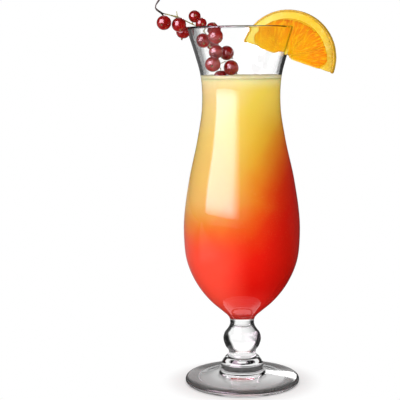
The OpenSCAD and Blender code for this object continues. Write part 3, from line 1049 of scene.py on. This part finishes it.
# %% Flesh finish
flesh_finish, tree, shader, place = finish_for("orange_flesh")
border, reach, torn_cut_and_painted_light = (
    add(tree, "Attribute", attribute_name=name).outputs["Fac"] for name in ("sac", "reach", "torn_cut_and_painted_light")
)
juice = soft_noise(place, 130.0, 3.0)
deep = ramp(reach, [
    (0.0, (0.86, 0.42, 0.004)), (0.45, (0.84, 0.31, 0.001)), (0.8, (0.82, 0.23, 0.001)), (0.98, (0.80, 0.15, 0.001)),
])
deep = mixed(between(juice, 0.35, 0.7, 0.0, 0.5), deep, (0.86, 0.38, 0.002, 1))
pale = ramp(reach, [(0.0, (0.95, 0.56, 0.006)), (1.0, (0.95, 0.48, 0.006))])
x, _, z = xyz(place)
in_glass = times(between(x, 0.012, 0.027, 0.85, 0.0), between(z, 0.216, 0.238, 1.0, 0.25))
fruit = coated(deep, [
    (between(border, 0.05, 0.36, 0.75, 0.0), pale),
    # the ragged cut is pale, partly as painted light that lifts the shade in the slit
    (between(torn_cut_and_painted_light, 0.1, 0.8, 0.0, 0.8), (0.97, 0.74, 0.14, 1)),
    (in_glass, (0.92, 0.52, 0.012, 1)),
])
fill(shader, {
    "Base Color": fruit,
    "Roughness": between(juice, 0.3, 0.7, 0.35, 0.55),
    "Specular IOR Level": 0.03,
    "Normal": bumps(juice, 0.3, 0.0004),
    **soft_inside(0.5, (1.0, 0.4, 0.05), 0.003),
})
for i, segment in enumerate(segments):
    put_on(segment, "orange_slice", "orange_flesh", flesh_finish, f"orange_segment_{i + 1}")

# %% [markdown]
# The walls between the segments are thin skins soaked with juice, so they are the flesh's orange, a little paler,
# with fine veins.

# %% Membrane finish
membrane_finish, tree, shader, place = finish_for("orange_membrane")
vein = soft_noise(place, 220.0, 4.0)
fill(shader, {
    "Base Color": ramp(vein, [(0.3, (0.92, 0.40, 0.004)), (0.7, (0.94, 0.52, 0.015))]),
    "Roughness": between(vein, 0.3, 0.7, 0.4, 0.6),
    "Specular IOR Level": 0.08,
    "Normal": bumps(vein, 0.4, 0.0004),
    **soft_inside(0.5, (1.0, 0.6, 0.2), 0.003),
})
put_on(core, "orange_slice", "membrane", membrane_finish, "orange_membranes")

# %% [markdown]
# ## The redcurrants
#
# Each berry is a thin tight skin round a clear pulp, almost round, with a dimple at its stalk and the dry rest of
# the flower at its tip. One berry is shaped from a sphere by pushing in its two poles, and copied: every copy has its
# own mesh, roll and slight unevenness. The list repeats the CAD's places, radii and directions, and the last number
# is the point of the stalk that the berry hangs from.

# %% Berries
CURRANTS = [
    ((-49.6, 2, 237.9), 4.7, (-0.3, -0.9, -0.3), 2),
    ((-40, 5, 236.7), 4.7, (0.2, -0.6, -0.75), 3),
    ((-37.5, 14.5, 232.2), 4.5, (-0.2, 0, -1), 5),
    ((-29.8, 12, 242.1), 4, (0.15, -1, 0.15), 6),
    ((-25.6, 6.5, 237.5), 3.65, (0.25, -0.95, -0.2), 8),
    ((-18.5, 5, 234.2), 3.9, (0.35, -0.6, 0.7), 9),
    ((-24.4, 1.3, 226.4), 4.75, (0.1, -0.9, -0.4), 9),
    ((-16.4, -4.6, 229), 4.85, (0.6, -0.7, -0.4), 9),
    ((-16.2, -1, 219.2), 4.7, (0.75, 0.1, -0.65), 10),
    ((-9.2, 6.5, 218.4), 4.75, (0.7, -0.3, -0.65), 10),
    ((-18.1, -7.5, 211.4), 4.9, (-0.1, -0.95, -0.25), 11),
    ((-6.5, -3, 209), 4.95, (0.6, -0.45, -0.66), 12),
    ((-18.7, 13, 224.6), 4.4, (0.2, 0.3, -0.95), 9),
    ((-13.2, 2, 202.8), 4.8, (0, 0, -1), 13),
]
BERRY_FLAT = 0.97
FULL_TURN = 6.28


def copy_of(master, name, matrix):
    """A copy with its own mesh, put in place and applied."""
    copy = master.copy()
    copy.data = master.data.copy()
    copy.name = name
    copy.data.name = name
    scene.collection.objects.link(copy)
    copy.matrix_world = matrix
    only(copy)
    apply_place()
    return copy


def pointing(tip):
    """A turn of Z towards a direction, rolled at random about it."""
    turn = Vector(tip).to_track_quat("Z", "Y").to_matrix().to_4x4()
    return turn @ Matrix.Rotation(random.uniform(0, FULL_TURN), 4, "Z")


bpy.ops.object.select_all(action="DESELECT")
bpy.ops.mesh.primitive_uv_sphere_add(segments=32, ring_count=20, radius=1.012 * MM)
berry = bpy.context.object
drag(berry, lambda co: co.z > 1.01 * MM, (0, 0, -0.05), 0.5)
drag(berry, lambda co: co.z < -1.01 * MM, (0, 0, 0.12), 0.45)
rounded(berry, 1)

random.seed(5)
berries = []
for i, (spot, radius, tip, _) in enumerate(CURRANTS):
    turn = pointing(tip)
    across = [radius * random.uniform(0.985, 1.01) for _ in range(2)]
    along = radius * random.uniform(0.975, 0.995)
    matrix = Matrix.Translation(Vector(spot) * MM) @ turn @ Matrix.Diagonal(Vector((*across, along, 1)))
    berries.append(copy_of(berry, f"currant_{i + 1:02d}", matrix))
bpy.data.objects.remove(berry)
print("berries:", len(berries))

# %% [markdown]
# A ripe currant is dark red and glossy, and its skin is so clear that pale veins show, running from pole to pole like
# the lines of a globe. The sphere's own UV map gives those lines. A clear coat gives the sharp spot of light.

# %% Berry finish
VEINS = 11
currant_skin, tree, shader, place = finish_for("currant_skin")
turn_share, _, _ = xyz(add(tree, "TexCoord").outputs["UV"])
drift = soft_noise(place, 300.0, 2.0)
around = maths("ADD", times(turn_share, VEINS * 2 * math.pi), times(drift, 2.0))
vein = between(maths("SINE", around), 0.86, 1.0)
mottle = soft_noise(place, 150.0, 3.0)
tone = ramp(mottle, [(0.3, (0.21, 0.002, 0.002)), (0.7, (0.38, 0.005, 0.004))])
fill(shader, {
    "Base Color": mixed(times(vein, 0.15), tone, (0.62, 0.06, 0.045, 1)),
    "Roughness": between(drift, 0.35, 0.7, 0.14, 0.19),
    "Normal": bumps(drift, 0.02, 0.0003),
    "IOR": 1.55,
    "Coat Weight": 0.6,
    "Coat Roughness": 0.12,
    **soft_inside(0.25, (1.0, 0.12, 0.08), 0.003),
})
for i, piece in enumerate(berries):
    put_on(piece, "currant_sprig", "currant_skin", currant_skin, f"currant_{i + 1:02d}")

# %% [markdown]
# The tip of a currant carries the dried flower: a short brown tube that flares into crumpled lobes. One is shaped
# from a ten-sided cylinder by extruding its end in, out and up, pulling every second point into a lobe, and sinking
# the middle.

# %% Flower tips
TIP_SIDES = 10
LOBE_ANGLE = 360 / TIP_SIDES


def between_lobes(co):
    """Every second point of the upper edge."""
    return co.z > 1.4 * MM and round(math.degrees(math.atan2(co.y, co.x)) / LOBE_ANGLE) % 2 == 0


bpy.ops.object.select_all(action="DESELECT")
bpy.ops.mesh.primitive_cylinder_add(vertices=TIP_SIDES, radius=0.85 * MM, depth=0.5 * MM, location=(0, 0, 0.1 * MM))
tip_piece = bpy.context.object
apply_place()
pick(tip_piece, lambda co: co.z > 0.3 * MM)
for rise, spread in ((0.3, 0.6), (0.45, 0.9), (0.45, 1.35)):
    bpy.ops.mesh.extrude_region_move(TRANSFORM_OT_translate={"value": (0, 0, rise * MM)})
    bpy.ops.transform.resize(value=(spread, spread, 1))
bpy.ops.mesh.inset(thickness=0.12 * MM)
bpy.ops.transform.translate(value=(0, 0, -0.45 * MM))
mode("OBJECT")
pick(tip_piece, between_lobes)
bpy.ops.transform.translate(value=(0, 0, -0.35 * MM))
mode("OBJECT")
pick(tip_piece, lambda co: co.z > 0.6 * MM)
bpy.ops.transform.vertex_random(offset=0.09 * MM, seed=4)
mode("OBJECT")
rounded(tip_piece, 2)

tips = []
for i, (spot, radius, tip, _) in enumerate(CURRANTS):
    away = Vector(tip).normalized()
    turn = pointing(away)
    size = random.uniform(0.85, 1.0)
    base = (Vector(spot) + away * radius * (BERRY_FLAT - 0.04)) * MM
    matrix = Matrix.Translation(base) @ turn @ Matrix.Diagonal(Vector((size, size, size, 1)))
    tips.append(copy_of(tip_piece, f"calyx_{i + 1:02d}", matrix))
bpy.data.objects.remove(tip_piece)
print("flower tips:", len(tips))

# %% [markdown]
# The dried flower is dull and crumpled, brown and straw-coloured. Its colour follows the crumples: painted shade
# darkens its folds and painted highlights lighten where it stands out.

# %% Flower tip finish
dry_calyx, tree, shader, place = finish_for("dry_calyx")
crumple = soft_noise(place, 900.0, 4.0)
# over the dried flower's browns: painted shade in the folds and painted highlights on the raised crumples
browns_and_painted_fold_shade = [(0.3, (0.05, 0.02, 0.008)), (0.55, (0.22, 0.10, 0.03)), (0.75, (0.50, 0.30, 0.12))]
fill(shader, {
    "Base Color": ramp(crumple, browns_and_painted_fold_shade),
    "Roughness": between(crumple, 0.3, 0.7, 0.5, 0.8),
    "Normal": bumps(crumple, 0.6, 0.0003),
})
for i, piece in enumerate(tips):
    put_on(piece, "currant_sprig", "dry_calyx", dry_calyx, f"calyx_{i + 1:02d}")

# %% [markdown]
# The stalk is one branching strand: woody and dark where it was cut, then green and thin, with a side stalk to each
# berry. One corner is extruded along the stalk's route, and from it along each side stalk. A Skin modifier gives the
# strand its thickness, point by point, and grows the forks together.

# %% Stalk
STEM_ROUTE = [
    (-51.5, 3, 254), (-55, 3, 247.5), (-51.5, 4, 244.5), (-46, 6, 243), (-41, 8, 241.8), (-36, 12, 239.5),
    (-31.5, 16, 237.2), (-28.5, 17.5, 236), (-25, 13, 233), (-21, 8, 228), (-20, 6, 221.5), (-17.5, 4, 215.5),
    (-14.5, 2.5, 211.2), (-13.5, 2, 208.6),
]
BARE_FORK, BARE_END = Vector(STEM_ROUTE[4]), Vector((-41.5, 7.5, 245.5))
SIDE_R = 0.28
CUT_R, TIP_R = 0.42, 0.32
KNOT_R = 0.68
ROUTE_STEPS = 3
route = smooth_line(STEM_ROUTE, ROUTE_STEPS)
stalk = draw_line("sprig_stem", [tuple(p) for p in route])
mode("OBJECT")


def grow(fork, points):
    """Extrudes a side stalk from the stalk's point nearest to the fork through some points."""
    here = min(route, key=lambda p: (p - fork).length)
    start = (here - route[0]) * MM
    pick(stalk, lambda co: (co - start).length < 1e-6)
    for p in points:
        bpy.ops.mesh.extrude_region_move(TRANSFORM_OT_translate={"value": (p - here) * MM})
        here = p
    mode("OBJECT")


for spot, radius, tip, fork in CURRANTS:
    away = Vector(tip).normalized()
    pole = Vector(spot) - away * (radius * 0.9)
    lead = Vector(spot) - away * (radius * BERRY_FLAT + 1.3)
    fork_place = Vector(STEM_ROUTE[fork])
    grow(fork_place, [fork_place.lerp(lead, 0.55), lead, pole])
grow(BARE_FORK, [BARE_FORK.lerp(BARE_END, 0.6), BARE_END])
apply_place()
skin = stalk.modifiers.new("thickness", "SKIN")
skin.branch_smoothing = 0.4
forks = {fork * ROUTE_STEPS for _, _, _, fork in CURRANTS}
for i, thickness in enumerate(stalk.data.skin_vertices[0].data):
    radius = SIDE_R
    if i < len(route):
        share = i / (len(route) - 1)
        radius = CUT_R * (1 - share) + TIP_R * share
        if ROUTE_STEPS <= i <= 2 * ROUTE_STEPS:
            radius = KNOT_R
        if i in forks:
            radius *= 1.2
    thickness.radius = (radius * MM, radius * MM)
rounded(stalk, 2)
print("stalk:", len(stalk.data.polygons), "faces")

# %% [markdown]
# The stalk is yellow-green with a dry grain, and brown to black at the end that was cut from the bush.

# %% Stalk finish
CUT_END = (-0.0505, -0.0475)
green_stalk, tree, shader, place = finish_for("green_stalk")
x, _, _ = xyz(place)
grain = soft_noise(place, 700.0, 4.0)
green = ramp(grain, [(0.3, (0.20, 0.20, 0.045)), (0.6, (0.46, 0.44, 0.14)), (0.8, (0.66, 0.60, 0.30))])
woody = ramp(grain, [(0.35, (0.012, 0.008, 0.006)), (0.75, (0.07, 0.045, 0.025))])
fill(shader, {
    "Base Color": mixed(between(x, *CUT_END, 1.0, 0.0), green, woody),
    "Roughness": between(grain, 0.3, 0.7, 0.45, 0.7),
    "Normal": bumps(grain, 0.5, 0.0003),
    **soft_inside(0.15, (0.8, 1.0, 0.3), 0.001),
})
put_on(stalk, "currant_sprig", "green_stalk", green_stalk, "sprig_stem")

# %% [markdown]
# ## Sizes
#
# The box round everything visible is written beside the box of the CAD model. The looks have to stay inside it.

# %% Sizes and end
size = {"cad": [list(map(float, p)) for p in cad_box], "visual": [list(map(float, p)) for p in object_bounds()]}
print("boxes:", size)
